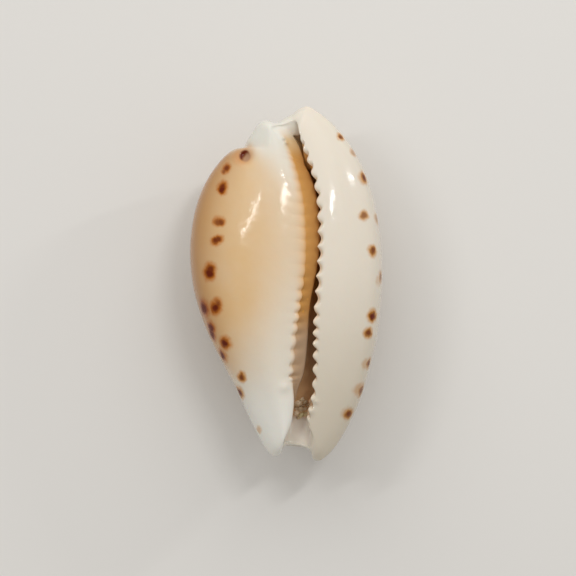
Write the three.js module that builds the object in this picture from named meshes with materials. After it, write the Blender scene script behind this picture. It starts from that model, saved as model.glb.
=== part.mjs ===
// A small cowrie shell, lying on its back with the toothed opening up.
// Millimetres, +Z up. +Y is the spire end, -Y the front end, +X the outer lip's side.
//
// The shell is one closed skin, so it is made as a globe whose rings are moved. One pole is
// the spot on the back where the shell rests. From there the rings climb the back to the
// margin, cross the base to the teeth, turn down through the opening, and follow the hollow
// round inside the last whorl to the other pole.

import * as THREE from 'three';
import { mergeVertices } from 'three/addons/utils/BufferGeometryUtils.js';

const { clamp, degToRad, lerp, smoothstep } = THREE.MathUtils;

// Driving dimensions, in millimetres.
const BASE_TOP = 12.3; // height of the base above the resting spot
const BASE_MIDDLE_Y = 0.3; // where the base is highest
const BASE_FALL = 0.0095; // how fast the base falls towards both ends, per mm
const MARGIN_HEIGHT = 7.55; // height of the widest line round the shell
const MARGIN_RISE = 0.0065; // how fast that line rises towards both ends, per mm
const MARGIN_LEAN = 0.05; // how much higher the outer lip's margin is, per mm across
const WALL = 0.8; // thickness of the last whorl at mid length
const NOTCH_DEPTH = 1.7; // how far the notch at each end lies below the base
const TOOTH_RELIEF = 0.13; // half the depth of the folds between the teeth
const REST_SPOT = new THREE.Vector3(0.45, 0.65, 0); // under the centre of gravity
const REST_SINK = 0.1; // how much of the round back is taken off to rest on

// The shell seen from above, clockwise. Each row gives a point of the outline, the point of
// the opening's rim that faces it, and how deep in an end notch they lie, from 0 to 1.
// On the lips there is one row for every second tooth.
const SPIRE_NOTCH = [
  [-1.94, 12.9, -0.92, 12.16, 0.03],
  [-1.45, 13.0, -0.84, 12.36, 0.15],
  [-1.0, 12.86, -0.64, 12.48, 0.38],
  [-0.6, 12.87, -0.38, 12.62, 0.62],
  [-0.12, 13.14, 0.02, 12.92, 0.72],
  [0.44, 13.43, 0.42, 13.16, 0.64],
  [0.94, 13.82, 0.76, 13.26, 0.4],
  [1.5, 14.08, 1.0, 12.84, 0.15],
  [2.12, 13.94, 1.12, 12.12, 0.03],
];
const OUTER_LIP = [
  [3.53, 12.91, 1.45, 10.68, 0],
  [5.05, 11.21, 2.1, 8.76, 0],
  [6.35, 8.83, 2.54, 6.48, 0],
  [7.28, 5.64, 2.64, 4.13, 0],
  [7.68, 2.23, 2.6, 1.77, 0],
  [7.64, -1.07, 2.45, -0.62, 0],
  [7.28, -4.3, 2.3, -3.03, 0],
  [6.72, -6.66, 2.26, -4.78, 0],
  [5.87, -9.43, 2.24, -6.84, 0],
  [4.47, -12.21, 2.06, -9.12, 0],
  [3.56, -13.43, 1.76, -10.74, 0],
];
const FRONT_NOTCH = [
  [2.93, -13.96, 2.0, -11.76, 0.05],
  [2.47, -14.09, 2.05, -12.37, 0.15],
  [2.14, -13.9, 1.98, -12.74, 0.34],
  [1.99, -13.44, 1.82, -12.94, 0.64],
  [1.6, -13.11, 1.48, -12.87, 0.86],
  [0.9, -12.96, 0.86, -12.73, 0.96],
  [0.22, -12.92, 0.24, -12.68, 0.95],
  [-0.17, -13.04, -0.1, -12.66, 0.7],
  [-0.37, -13.5, -0.14, -12.42, 0.3],
  [-0.82, -13.75, 0.06, -12.0, 0.08],
];
const INNER_LIP = [
  [-1.43, -13.42, 0.37, -11.24, 0],
  [-2.06, -12.43, 0.52, -10.2, 0],
  [-2.92, -10.76, 0.55, -9.16, 0],
  [-3.73, -8.95, 0.41, -8.04, 0],
  [-4.45, -7.48, 0.4, -6.96, 0],
  [-5.89, -4.73, 0.57, -4.6, 0],
  [-6.77, -2.65, 0.79, -2.7, 0],
  [-7.33, -0.75, 1.01, -1.0, 0],
  [-7.66, 1.55, 1.18, 1.0, 0],
  [-7.62, 3.87, 1.22, 3.0, 0],
  [-7.25, 6.01, 1.17, 4.92, 0],
  [-6.43, 8.09, 1.0, 6.84, 0],
  [-5.19, 9.89, 0.65, 8.68, 0],
  [-4.07, 10.76, 0.28, 10.08, 0],
  [-3.43, 10.87, 0.03, 10.76, 0],
  [-3.13, 11.37, -0.24, 11.22, 0],
  [-2.78, 11.94, -0.5, 11.6, 0],
  [-2.38, 12.54, -0.74, 11.94, 0],
];

// Rings on the back, as degrees climbed from the resting spot to the margin.
const BACK_RINGS = [0, 13, 27, 41, 55, 68, 80];
// Rings on the base, as degrees turned from the margin to the rim of the opening.
const BASE_RINGS = [22, 42, 60, 76, 90];
// Rings down the inside of the two lips and down the notches, as steps from the rim.
const LIP_RINGS = [
  { outer: [0, -0.4], inner: [0.3, -0.4], notch: [0.45, -0.03] },
  { outer: [0.3, -1], inner: [0.9, -1.05], notch: [1.1, -0.12] },
  { outer: [1, -1.75], inner: [1.4, -1.9], notch: [1.95, -0.45] },
  { outer: [2, -2.6], inner: [1.65, -3.2], notch: [2.9, -1.1] },
];
// Rings along the hollow: degrees wound round from straight up, the share of the shell's
// length that the hollow still has there, and how open it is between its two walls.
const HOLLOW_RINGS = [
  { turn: 75, reach: 0.735, open: 1 },
  { turn: 115, reach: 0.73, open: 1 },
  { turn: 155, reach: 0.715, open: 1 },
  { turn: 195, reach: 0.695, open: 1 },
  { turn: 235, reach: 0.665, open: 1 },
  { turn: 270, reach: 0.62, open: 1 },
  { turn: 298, reach: 0.56, open: 1 },
  { turn: 320, reach: 0.47, open: 0.95 },
  { turn: 336, reach: 0.34, open: 0.8 },
  { turn: 347, reach: 0.18, open: 0.5 },
  { turn: 352, reach: 0, open: 0 },
];

// How the shell draws out into its two ends: where along y that starts and is complete.
const FRONT_SNOUT = [7.5, 13];
const SPIRE_SNOUT = [9.5, 13.5]; // on the outer lip's side
const KNOB = [11.5, 13]; // on the inner side
const NOTCH_MARGIN_DROP = 0.35; // how much lower the margin is behind a notch

// The back.
const BACK_SMOOTHING = 8; // how far the notches are smoothed out of the back's outline
const OUTLINE_REACH = [0.7, 1]; // share of the way out where the true outline takes over
const BACK_PULL = 0.07; // how much the ends are pulled in on the back
const SHOULDER_PULL = 0.03; // the same, close to the margin
const SHOULDER_START = 75; // degrees
const FIRST_RING_CLIMB = 0.35; // keeps the resting spot flat
const SNOUT_SLACK = 0.12; // how much lower the back runs out towards the ends

// The base.
const BASE_ROUNDING = 0.8; // below 1 is fuller than a circle
const TURN_IN = 0.15; // how much the outer lip dips at the rim
const INNER_TURN_IN = 0.3; // how much more the inner lip dips there
const TURN_IN_SHARPNESS = 6;

// The steps down the inside of the lips, smaller where the shell is narrow.
const NARROWEST = 0.34;
const NARROW_DROP = 1.25;
const OUTER_STEP_LOSS = 0.6; // share of the outer lip's steps lost towards both ends
const OUTER_STEP_RANGE = [6.5, 10.5];
const FRONT_LEDGE = 0.55; // share of the ledge's width left at the front end
const FRONT_LEDGE_RANGE = [-10.5, -6.5];
const CANAL_RANGE = [7.5, 13.2]; // where the end canals run in along the shell

// The hollow.
const HOLLOW_RIM_REACH = 13.2; // how far out the rim goes along y
const HOLLOW_INSET = 0.265; // share of the length that the hollow stops short there
const HOLLOW_START_REACH = 0.735;
const HOLLOW_END_Y = 0.4;
const AXIS_DROP = 0.2; // how far the hollow's axis lies below the margin
const TOP_WALL = 0.3; // how much thicker the wall is under the base
const END_WALL = 0.8; // how much thicker it gets 10 mm from the middle
const MOUTH_WALL = 0.35; // how much thicker it is past the end of the hollow's full width
const MOUTH_RANGE = [7, 9.7];
const INNER_WALL = [0.5, 0.45]; // where the inner wall lies, at both ends of the winding
const WINDING = [75, 340]; // degrees between which the hollow winds
const LEAST_GAP = 0.13;
const SAG = 1.3; // how far the hollow sinks where the shell is deep
const MOUTH_SAG = 1.1;
const MOUTH_TURN = [75, 115]; // degrees over which the mouth's own sag dies away
const FULL_DEPTH = 7; // depth of the back below the axis at which the sag is full
const SIDE_SHIFT = 0.3;

// The teeth, along a section: where the folds start, are full, begin to fade and end.
const FOLD_STOPS = [10.8, 12, 12.5, 14.5];
const FOLD_SIDEWAYS = 0.8;
const FOLD_UPWARDS = 0.6;
const FIRST_INNER_TOOTH = 5; // stations past the front notch
const LAST_INNER_TOOTH = 16;

// Where the globe's rings fall along a section, counted in the rings above.
const SECTION_STOPS = [
  0, 1, 2, 3, 4.3, 5.6, 7, 8, 9, 10, 11, 11.6, 12, 12.5, 13.2, 14, 15, 16, 17.2, 18.6, 20, 21.5,
  23, 24.5, 26, 27,
];
const COLUMNS_PER_STATION = 4;

const stations = [
  ...SPIRE_NOTCH.map((row, i) => station(row, 1 - i / (SPIRE_NOTCH.length - 1))),
  ...OUTER_LIP.map((row) => station(row, 0)),
  ...FRONT_NOTCH.map((row, i) => station(row, i / (FRONT_NOTCH.length - 1))),
  ...INNER_LIP.map((row) => station(row, 1)),
];

// A station is one section of the shell. Its side is 0 on the outer lip and 1 on the inner.
function station([outlineX, outlineY, rimX, rimY, notch], side) {
  return {
    outline: new THREE.Vector3(outlineX, outlineY, 0),
    rim: new THREE.Vector3(rimX, rimY, 0),
    notch,
    side,
  };
}

function baseHeight(y) {
  return BASE_TOP - BASE_FALL * (y - BASE_MIDDLE_Y) ** 2;
}

function marginHeight(x, y) {
  return MARGIN_HEIGHT + MARGIN_RISE * y * y + MARGIN_LEAN * x;
}

// Reads a value off a line through [x, y] pairs that are sorted by x.
function readLine(pairs, x) {
  const last = pairs.length - 1;
  const i = clamp(pairs.findIndex(([next]) => next > x) - 1, 0, last - 1);
  const start = x >= pairs[last][0] ? last - 1 : i;
  const [x0, y0] = pairs[start];
  const [x1, y1] = pairs[start + 1];
  return lerp(y0, y1, clamp((x - x0) / (x1 - x0), 0, 1));
}

const outerSide = OUTER_LIP.map(([x, y]) => [y, x]).reverse();
const innerSide = INNER_LIP.slice(1).map(([x, y]) => [y, x]);

// Half the width of the shell at y, and the middle of that width.
function crossSection(y) {
  const right = readLine(outerSide, y);
  const left = readLine(innerSide, y);
  return { half: (right - left) / 2, middle: (right + left) / 2 };
}

// How much a station belongs to the drawn-out ends of the shell, from 0 to 1.
function snout({ outline, side }) {
  if (outline.y < 0) return smoothstep(-outline.y, ...FRONT_SNOUT);
  return smoothstep(outline.y, ...(side < 1 ? SPIRE_SNOUT : KNOB));
}

// Averages each point of a closed ring with its neighbours, again and again.
function smoothRing(points, times) {
  let ring = points;
  for (let pass = 0; pass < times; pass += 1) {
    ring = ring.map((point, i) => {
      const before = ring.at(i - 1);
      const after = ring[(i + 1) % ring.length];
      return point.clone().multiplyScalar(2).add(before).add(after).divideScalar(4);
    });
  }
  return ring;
}

function marginPoint({ outline, notch }) {
  return outline.clone().setZ(marginHeight(outline.x, outline.y) - NOTCH_MARGIN_DROP * notch);
}

// The outline with each end notch bridged by a straight line between its two horns.
function bridgedOutline() {
  const spans = [
    [0, SPIRE_NOTCH.length - 1],
    [SPIRE_NOTCH.length + OUTER_LIP.length, stations.length - INNER_LIP.length - 1],
  ];
  return stations.map(({ outline }, i) => {
    const span = spans.find(([start, end]) => i >= start && i <= end);
    if (!span) return outline;
    const [start, end] = span;
    const share = (i - start) / (end - start);
    return stations[start].outline.clone().lerp(stations[end].outline, share);
  });
}

function backRing(degrees) {
  const angle = degToRad(degrees);
  const softOutline = smoothRing(bridgedOutline(), BACK_SMOOTHING);
  const pull = degrees < SHOULDER_START ? BACK_PULL : SHOULDER_PULL;
  return stations.map((item, i) => {
    const reach = Math.sin(angle) * (1 - pull * snout(item));
    const edge = softOutline[i].clone().lerp(item.outline, smoothstep(reach, ...OUTLINE_REACH));
    const climb = degrees === BACK_RINGS[1] ? FIRST_RING_CLIMB : 1 - SNOUT_SLACK * snout(item);
    const height = (1 - Math.cos(angle)) * marginPoint(item).z * climb;
    return REST_SPOT.clone().lerp(edge, reach).setZ(height);
  });
}

function baseRing(degrees) {
  const angle = degToRad(degrees);
  const across = 1 - Math.cos(angle);
  const up = Math.sin(angle) ** BASE_ROUNDING;
  return stations.map((item) => {
    const point = item.outline.clone().lerp(item.rim, across);
    const turnedIn = (TURN_IN + INNER_TURN_IN * item.side) * across ** TURN_IN_SHARPNESS;
    const top = baseHeight(point.y) - NOTCH_DEPTH * item.notch - turnedIn;
    return point.setZ(lerp(marginPoint(item).z, top, up));
  });
}

function lipRing({ outer, inner, notch }) {
  const rim = baseRing(90);
  return stations.map((item, i) => {
    const { x, y, z } = rim[i];
    const width = clamp(crossSection(y).half / crossSection(0).half, NARROWEST, 1);
    const outerLoss = OUTER_STEP_LOSS * smoothstep(Math.abs(y), ...OUTER_STEP_RANGE);
    const innerShare = lerp(FRONT_LEDGE, 1, smoothstep(y, ...FRONT_LEDGE_RANGE));
    const step = lerp(outer[0] * (1 - outerLoss), inner[0] * innerShare, item.side) * width;
    const drop = lerp(outer[1], inner[1], item.side) * Math.min(NARROW_DROP * width, 1);
    const run = Math.sign(y) * notch[0] * smoothstep(Math.abs(y), ...CANAL_RANGE);
    return new THREE.Vector3(x + step, y - run, z + lerp(drop, notch[1], item.notch));
  });
}

// The line of the back from end to end, seen from the side, as [y, height] pairs.
const spireEnd = SPIRE_NOTCH.length >> 1;
const frontEnd = SPIRE_NOTCH.length + OUTER_LIP.length + (FRONT_NOTCH.length >> 1);
const keel = BACK_RINGS.flatMap((degrees) => {
  const ring = backRing(degrees);
  return [spireEnd, frontEnd].map((i) => [ring[i].y, ring[i].z]);
}).sort((a, b) => a[0] - b[0]);

// Where a section's rim lies along y once the hollow has the given share of the length.
function hollowY(rimY, reach) {
  const inset = HOLLOW_INSET * (rimY / HOLLOW_RIM_REACH) ** 2;
  return HOLLOW_END_Y * (1 - reach) + rimY * (1 - inset) * (reach / HOLLOW_START_REACH);
}

// How thick the wall is between the hollow and the outside.
function wallThickness(y, angle) {
  const top = TOP_WALL * Math.max(Math.cos(angle), 0);
  const ends = END_WALL * Math.abs(y / 10) ** 3;
  return WALL + top + ends + MOUTH_WALL * smoothstep(Math.abs(y), ...MOUTH_RANGE);
}

function hollowRing({ turn, reach, open }) {
  const angle = degToRad(turn);
  const wound = (turn - WINDING[0]) / (WINDING[1] - WINDING[0]);
  const innerShare = lerp(INNER_WALL[0], INNER_WALL[1], wound);
  const mouth = clamp((MOUTH_TURN[1] - turn) / (MOUTH_TURN[1] - MOUTH_TURN[0]), 0, 1);
  const ring = stations.map(({ rim, side }) => {
    const y = hollowY(rim.y, reach);
    const { half, middle } = crossSection(y);
    const axis = marginHeight(middle, y) - AXIS_DROP;
    const above = baseHeight(y) - axis;
    const below = axis - readLine(keel, y);
    const outX = half * Math.sin(angle);
    const outZ = (Math.cos(angle) > 0 ? above : below) * Math.cos(angle);
    const wallShare = wallThickness(y, angle) / Math.hypot(outX, outZ);
    const outerShare = Math.max(1 - wallShare, innerShare + LEAST_GAP);
    const share = lerp(outerShare, innerShare, lerp(0.5, side, open));
    const mouthSag = MOUTH_SAG * mouth * smoothstep(Math.abs(y), ...MOUTH_RANGE);
    const sag = (SAG * Math.min(below / FULL_DEPTH, 1) + mouthSag) * (1 - share);
    const x = middle - SIDE_SHIFT * (1 - share) + share * outX;
    return new THREE.Vector3(x, y, axis - sag + share * outZ);
  });
  if (reach > 0) return ring;
  const middle = ring.reduce((sum, point) => sum.add(point), new THREE.Vector3());
  return ring.map(() => middle.clone().divideScalar(ring.length));
}

// The folds between the teeth: strongest at the rim, and only along the two lips.
function toothRelief(stop, columnStation) {
  const [start, full, fade, end] = FOLD_STOPS;
  const down = smoothstep(stop, start, full) * (1 - smoothstep(stop, fade, end));
  const firstOuter = SPIRE_NOTCH.length;
  const lastOuter = firstOuter + OUTER_LIP.length - 1;
  const frontNotchEnd = lastOuter + FRONT_NOTCH.length;
  const firstInner = frontNotchEnd + FIRST_INNER_TOOTH - 1;
  const lastInner = frontNotchEnd + LAST_INNER_TOOTH - 1;
  const alongOuter = rampInOut(columnStation, firstOuter - 0.5, lastOuter + 0.5);
  const alongInner = rampInOut(columnStation, firstInner - 0.5, lastInner + 0.5);
  const wave = Math.cos(4 * Math.PI * columnStation);
  return TOOTH_RELIEF * down * wave * Math.max(alongOuter, alongInner);
}

function rampInOut(x, start, end) {
  return smoothstep(x, start - 0.5, start + 0.5) * (1 - smoothstep(x, end - 0.5, end + 0.5));
}

function shellRings() {
  return [
    ...BACK_RINGS.map(backRing),
    stations.map(marginPoint),
    ...BASE_RINGS.map(baseRing),
    ...LIP_RINGS.map(lipRing),
    ...HOLLOW_RINGS.map(hollowRing),
  ];
}

function shellGeometry() {
  const columns = stations.length * COLUMNS_PER_STATION;
  const geometry = new THREE.SphereGeometry(1, columns, SECTION_STOPS.length - 1);
  geometry.deleteAttribute('normal');
  geometry.deleteAttribute('uv');
  const rings = shellRings().map((ring) => new THREE.CatmullRomCurve3(ring, true, 'catmullrom'));
  const position = geometry.getAttribute('position');
  for (let column = 0; column <= columns; column += 1) {
    const along = (column % columns) / columns;
    const section = new THREE.CatmullRomCurve3(rings.map((ring) => ring.getPoint(along)));
    section.curveType = 'catmullrom';
    SECTION_STOPS.forEach((stop, row) => {
      const point = section.getPoint(stop / (rings.length - 1));
      const relief = toothRelief(stop, along * stations.length);
      const towardsOpening = along < 0.5 ? -FOLD_SIDEWAYS : FOLD_SIDEWAYS;
      point.x += relief * towardsOpening;
      point.z = Math.max(point.z + relief * FOLD_UPWARDS - REST_SINK, 0);
      position.setXYZ(row * (columns + 1) + column, point.x, point.y, point.z);
    });
  }
  const closed = mergeVertices(geometry, 1e-4);
  closed.computeVertexNormals();
  return closed;
}

// Moves the geometry so that the middle of its box is over the origin and its foot at zero.
function centred(geometry) {
  geometry.computeBoundingBox();
  const { min, max } = geometry.boundingBox;
  return geometry.translate(-(min.x + max.x) / 2, -(min.y + max.y) / 2, -min.z);
}

const porcelain = new THREE.MeshStandardMaterial({
  color: '#dcc8a6',
  roughness: 0.2,
  metalness: 0,
});

const shell = new THREE.Mesh(centred(shellGeometry()), porcelain);
shell.name = 'shell';

const cowrie = new THREE.Group();
cowrie.add(shell);

export default cowrie;
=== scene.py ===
"""A small spotted cowrie shell, lying on its back with the toothed opening up."""

import math
import random
from collections import namedtuple

import bmesh
import bpy
from bpy.props import FloatProperty, FloatVectorProperty, PointerProperty
from bpy.types import Operator, Panel, PropertyGroup
from mathutils import Matrix, Vector, noise
from mathutils.bvhtree import BVHTree


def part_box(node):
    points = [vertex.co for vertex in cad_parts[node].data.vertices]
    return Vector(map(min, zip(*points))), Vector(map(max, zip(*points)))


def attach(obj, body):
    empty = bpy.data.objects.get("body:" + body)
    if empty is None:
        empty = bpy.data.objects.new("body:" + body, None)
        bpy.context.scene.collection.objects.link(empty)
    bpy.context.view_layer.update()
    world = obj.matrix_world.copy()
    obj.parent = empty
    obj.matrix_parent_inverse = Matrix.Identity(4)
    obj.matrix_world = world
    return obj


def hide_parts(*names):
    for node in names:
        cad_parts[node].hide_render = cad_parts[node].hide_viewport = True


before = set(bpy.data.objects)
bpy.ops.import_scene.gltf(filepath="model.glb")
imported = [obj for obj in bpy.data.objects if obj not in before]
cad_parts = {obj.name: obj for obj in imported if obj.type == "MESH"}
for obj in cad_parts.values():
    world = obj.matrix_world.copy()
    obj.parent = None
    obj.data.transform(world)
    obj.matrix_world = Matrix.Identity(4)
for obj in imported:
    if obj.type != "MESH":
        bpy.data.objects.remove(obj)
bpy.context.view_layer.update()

bl_info = {
    "name": "Cowrie Shell",
    "version": (1, 0, 0),
    "blender": (4, 5, 0),
    "location": "3D View > Sidebar > Cowrie",
    "description": "Models a small spotted cowrie shell and the stage that it lies on",
    "category": "Add Mesh",
}

SHELL_LOW, SHELL_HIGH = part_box("shell")
SHELL_LENGTH = SHELL_HIGH[1] - SHELL_LOW[1]

# ---------------------------------------------------------------------------
# Shape. The numbers below are millimetres on a shell DRAWN_LENGTH long, and
# every vertex is scaled to the frame at the end. +Y is the spire end, +X the
# outer lip's side, +Z the way the opening faces.
# ---------------------------------------------------------------------------

DRAWN_LENGTH = 28.18
DRAWN_SCALE = SHELL_LENGTH / DRAWN_LENGTH

BASE_TOP = 12.3
BASE_MIDDLE_Y = 0.3
BASE_FALL = 0.0095
MARGIN_HEIGHT = 7.55
MARGIN_RISE = 0.0065
MARGIN_LEAN = 0.05
WALL = 0.8
NOTCH_DEPTH = 1.55
REST_SPOT = Vector((0.45, 0.65, 0.0))
REST_SINK = 0.1

# How far from the middle each drawn-out end starts, and where it is fully drawn out.
FRONT_SNOUT = (7.5, 13.0)
SPIRE_SNOUT = (9.5, 13.5)
KNOB_SNOUT = (11.5, 13.0)
# The same for the stretches of the rim that slope gently into the end canals.
SPIRE_CANAL = (10.5, 11.8)
FRONT_CANAL = (10.4, 11.8)

# Back: how much the drawn-out ends pull it in, low down and near the margin, and how
# much lower they and the first ring lie.
LOW_PULL, HIGH_PULL, HIGH_FROM = 0.07, 0.03, 75
FIRST_RING_CLIMB = 0.35
SNOUT_DROP = 0.12
NOTCHED_MARGIN_DROP = 0.35

# Base: how boxy its section is (1 is round) on the outer lip and on the inner side,
# and how far the lips curl in.
OUTER_FULLNESS, INNER_FULLNESS = 0.7, 0.8
OUTER_CURL, MORE_INNER_CURL = 0.15, 0.3
CURL_POWER = 6
CANAL_CURL_LOSS = 0.5

# Lips: how narrow the opening's walls get at the ends, and how far the walls of the
# spire canal step across, and along it, on the outer lip and on the inner side.
NARROWEST_SHARE = 0.34
OUTER_STEP_LOSS, OUTER_STEP_ENDS = 0.6, (6.5, 10.5)
FULL_DROP_SHARE = 1.25
SPIRE_ACROSS = (0.45, 1.57)
SPIRE_ALONG = (0.56, 0.28)
ALONG_ENDS = (7.5, 13.2)

# Clockwise from above: a point of the outline, the point of the opening's rim
# that faces it, and how deep in an end notch they lie. Along the lips there is
# one row for every second tooth.
SPIRE_NOTCH = (
    (-1.94, 12.90, -1.00, 12.22, 0.04),
    (-1.45, 13.00, -0.84, 12.36, 0.15),
    (-1.00, 12.86, -0.62, 12.46, 0.29),
    (-0.60, 12.87, -0.36, 12.50, 0.38),
    (-0.12, 13.14, 0.02, 12.58, 0.43),
    (0.44, 13.43, 0.42, 12.76, 0.40),
    (0.94, 13.82, 0.74, 12.88, 0.29),
    (1.50, 14.08, 0.93, 12.62, 0.15),
    (2.12, 13.94, 1.04, 12.10, 0.03),
)
OUTER_LIP = (
    (3.53, 12.91, 1.42, 10.68, 0.0),
    (5.05, 11.21, 2.07, 8.76, 0.0),
    (6.35, 8.83, 2.51, 6.48, 0.0),
    (7.28, 5.64, 2.61, 4.13, 0.0),
    (7.68, 2.23, 2.56, 1.77, 0.0),
    (7.64, -1.07, 2.41, -0.62, 0.0),
    (7.28, -4.30, 2.26, -3.03, 0.0),
    (6.72, -6.66, 2.22, -4.78, 0.0),
    (5.87, -9.43, 2.20, -6.84, 0.0),
    (4.47, -12.21, 2.02, -9.12, 0.0),
    (3.56, -13.43, 1.70, -10.74, 0.0),
)
FRONT_NOTCH = (
    (2.93, -13.96, 2.02, -11.75, 0.05),
    (2.47, -14.09, 2.06, -12.35, 0.13),
    (2.14, -13.90, 1.98, -12.74, 0.28),
    (1.99, -13.44, 1.82, -12.94, 0.52),
    (1.60, -13.11, 1.48, -12.87, 0.76),
    (0.90, -12.96, 0.86, -12.73, 0.93),
    (0.22, -12.92, 0.24, -12.68, 0.95),
    (-0.17, -13.04, -0.10, -12.66, 0.70),
    (-0.37, -13.50, -0.14, -12.42, 0.30),
    (-0.82, -13.75, 0.06, -12.00, 0.08),
)
INNER_LIP = (
    (-1.43, -13.42, 0.37, -11.24, 0.0),
    (-2.06, -12.43, 0.52, -10.20, 0.0),
    (-2.92, -10.76, 0.55, -9.16, 0.0),
    (-3.73, -8.95, 0.41, -8.04, 0.0),
    (-4.45, -7.48, 0.40, -6.96, 0.0),
    (-5.89, -4.73, 0.57, -4.60, 0.0),
    (-6.77, -2.65, 0.79, -2.70, 0.0),
    (-7.33, -0.75, 1.01, -1.00, 0.0),
    (-7.66, 1.55, 1.18, 1.00, 0.0),
    (-7.62, 3.87, 1.22, 3.00, 0.0),
    (-7.25, 6.01, 1.17, 4.92, 0.0),
    (-6.43, 8.09, 1.00, 6.84, 0.0),
    (-5.19, 9.89, 0.65, 8.68, 0.0),
    (-4.07, 10.76, 0.28, 10.08, 0.0),
    (-3.43, 10.87, 0.02, 10.76, 0.0),
    (-3.13, 11.37, -0.27, 11.22, 0.0),
    (-2.78, 11.94, -0.58, 11.60, 0.0),
    (-2.38, 12.54, -0.84, 11.95, 0.0),
)

# Rings on the back, in degrees climbed from the resting spot to the margin.
BACK_RINGS = (0, 13, 27, 41, 55, 68, 80)
# Rings on the base, in degrees turned from the margin to the opening's rim.
BASE_RINGS = (22, 42, 60, 76, 90)
# Steps from the rim down into the opening: on the outer lip; on the inner lip, as
# a share of its ledge's width; on the gentle flanks of the spire canal and of the
# front canal; and in the middle of a notch, where the first is a run inwards.
LIP_RINGS = (
    ((0.0, -0.4), (0.34, -0.22), (0.30, -0.08), (0.14, -0.18), (0.45, -0.03)),
    ((0.3, -1.0), (0.80, -0.66), (0.66, -0.28), (0.16, -0.48), (1.1, -0.12)),
    ((1.0, -1.75), (1.03, -1.12), (1.00, -0.60), (-0.05, -0.95), (1.95, -0.45)),
    ((2.0, -2.6), (1.15, -2.45), (1.20, -1.18), (-0.30, -1.75), (2.9, -1.1)),
)
# Width of the golden ledge inside the inner lip, along the shell.
LEDGE_WIDTHS = (
    (-10.2, 0.12),
    (-9.2, 0.22),
    (-8.3, 0.50),
    (-7.6, 0.84),
    (-6.9, 1.02),
    (-5.5, 1.16),
    (-3.9, 1.08),
    (-2.5, 0.98),
    (-1.0, 1.00),
    (0.2, 1.08),
    (1.7, 1.40),
    (3.5, 1.50),
    (5.9, 1.50),
    (7.5, 1.43),
    (8.7, 1.32),
    (10.1, 1.24),
    (10.9, 1.40),
    (12.0, 1.60),
)
# Rings along the hollow: degrees wound round from straight up, the share of
# the length that the hollow still has, and how far its walls stand apart.
HOLLOW_RINGS = (
    (75, 0.735, 1.0),
    (115, 0.73, 1.0),
    (155, 0.715, 1.0),
    (195, 0.695, 1.0),
    (235, 0.665, 1.0),
    (270, 0.62, 1.0),
    (298, 0.56, 1.0),
    (320, 0.47, 0.95),
    (336, 0.34, 0.8),
    (345, 0.18, 0.5),
    (352, 0.0, 0.0),
)

HOLLOW_START, HOLLOW_REACH, _ = HOLLOW_RINGS[0]
# Degrees that the hollow winds on while its inner wall draws in, and while its mouth
# sags at the ends.
HOLLOW_TURN = 265.0
MOUTH_TURN = 40.0
MOUTH_ENDS = (7.0, 9.7)
# The middle that the hollow shrinks to, how far its ends stay short of the rim's, and
# how far its axis lies below the margin.
HOLLOW_MIDDLE_Y = 0.4
HOLLOW_INSET = 0.265
RIM_END_Y = 13.2
AXIS_DROP = 0.2

MARGIN_RING = len(BACK_RINGS)
RIM_RING = MARGIN_RING + len(BASE_RINGS)
RING_COUNT = RIM_RING + 1 + len(LIP_RINGS) + len(HOLLOW_RINGS)

# How many mesh rings lie between two of the rings above.
MESH_RINGS = (
    (0.0, 6.0, 14),
    (6.0, 10.0, 17),
    (10.0, 11.4, 13),
    (11.4, 13.0, 36),
    (13.0, 15.4, 27),
    (15.4, 27.0, 21),
)
MESH_COLUMNS = 760

FIRST_OUTER = len(SPIRE_NOTCH)
LAST_OUTER = FIRST_OUTER + len(OUTER_LIP) - 1
FIRST_FRONT = LAST_OUTER + 1
LAST_FRONT = FIRST_FRONT + len(FRONT_NOTCH) - 1
FIRST_INNER_TOOTH = LAST_FRONT + 5
LAST_INNER_TOOTH = LAST_FRONT + 14

Station = namedtuple("Station", "outline rim notch side")


def smoothstep(value, start, end):
    share = min(max((value - start) / (end - start), 0.0), 1.0)
    return share * share * (3.0 - 2.0 * share)


def mix(a, b, share):
    return a + (b - a) * share


def make_stations():
    """One section of the shell each; side is 0 on the outer lip and 1 on the inner."""
    spire = [1.0 - i / (len(SPIRE_NOTCH) - 1) for i in range(len(SPIRE_NOTCH))]
    front = [i / (len(FRONT_NOTCH) - 1) for i in range(len(FRONT_NOTCH))]
    sides = spire + [0.0] * len(OUTER_LIP) + front + [1.0] * len(INNER_LIP)
    rows = SPIRE_NOTCH + OUTER_LIP + FRONT_NOTCH + INNER_LIP
    return [
        Station(Vector((x, y, 0.0)), Vector((rim_x, rim_y, 0.0)), notch, side)
        for (x, y, rim_x, rim_y, notch), side in zip(rows, sides)
    ]


STATIONS = make_stations()


def base_height(y):
    return BASE_TOP - BASE_FALL * (y - BASE_MIDDLE_Y) ** 2


def margin_height(x, y):
    return MARGIN_HEIGHT + MARGIN_RISE * y * y + MARGIN_LEAN * x


def read_line(pairs, x):
    """Reads a value off a line through (x, y) pairs that are sorted by x."""
    if x <= pairs[0][0]:
        return pairs[0][1]
    for (x0, y0), (x1, y1) in zip(pairs, pairs[1:]):
        if x <= x1:
            return mix(y0, y1, (x - x0) / max(x1 - x0, 1e-9))
    return pairs[-1][1]


OUTER_SIDE = sorted((row[1], row[0]) for row in OUTER_LIP)
INNER_SIDE = sorted((row[1], row[0]) for row in INNER_LIP[1:])


def cross_section(y):
    """Half the width of the shell at y, and the middle of that width."""
    right, left = read_line(OUTER_SIDE, y), read_line(INNER_SIDE, y)
    return (right - left) / 2.0, (right + left) / 2.0


def snout(station):
    """How much a station belongs to the drawn-out ends, from 0 to 1."""
    y = station.outline.y
    if y < 0.0:
        return smoothstep(-y, *FRONT_SNOUT)
    return smoothstep(y, *(SPIRE_SNOUT if station.side < 1.0 else KNOB_SNOUT))


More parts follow.
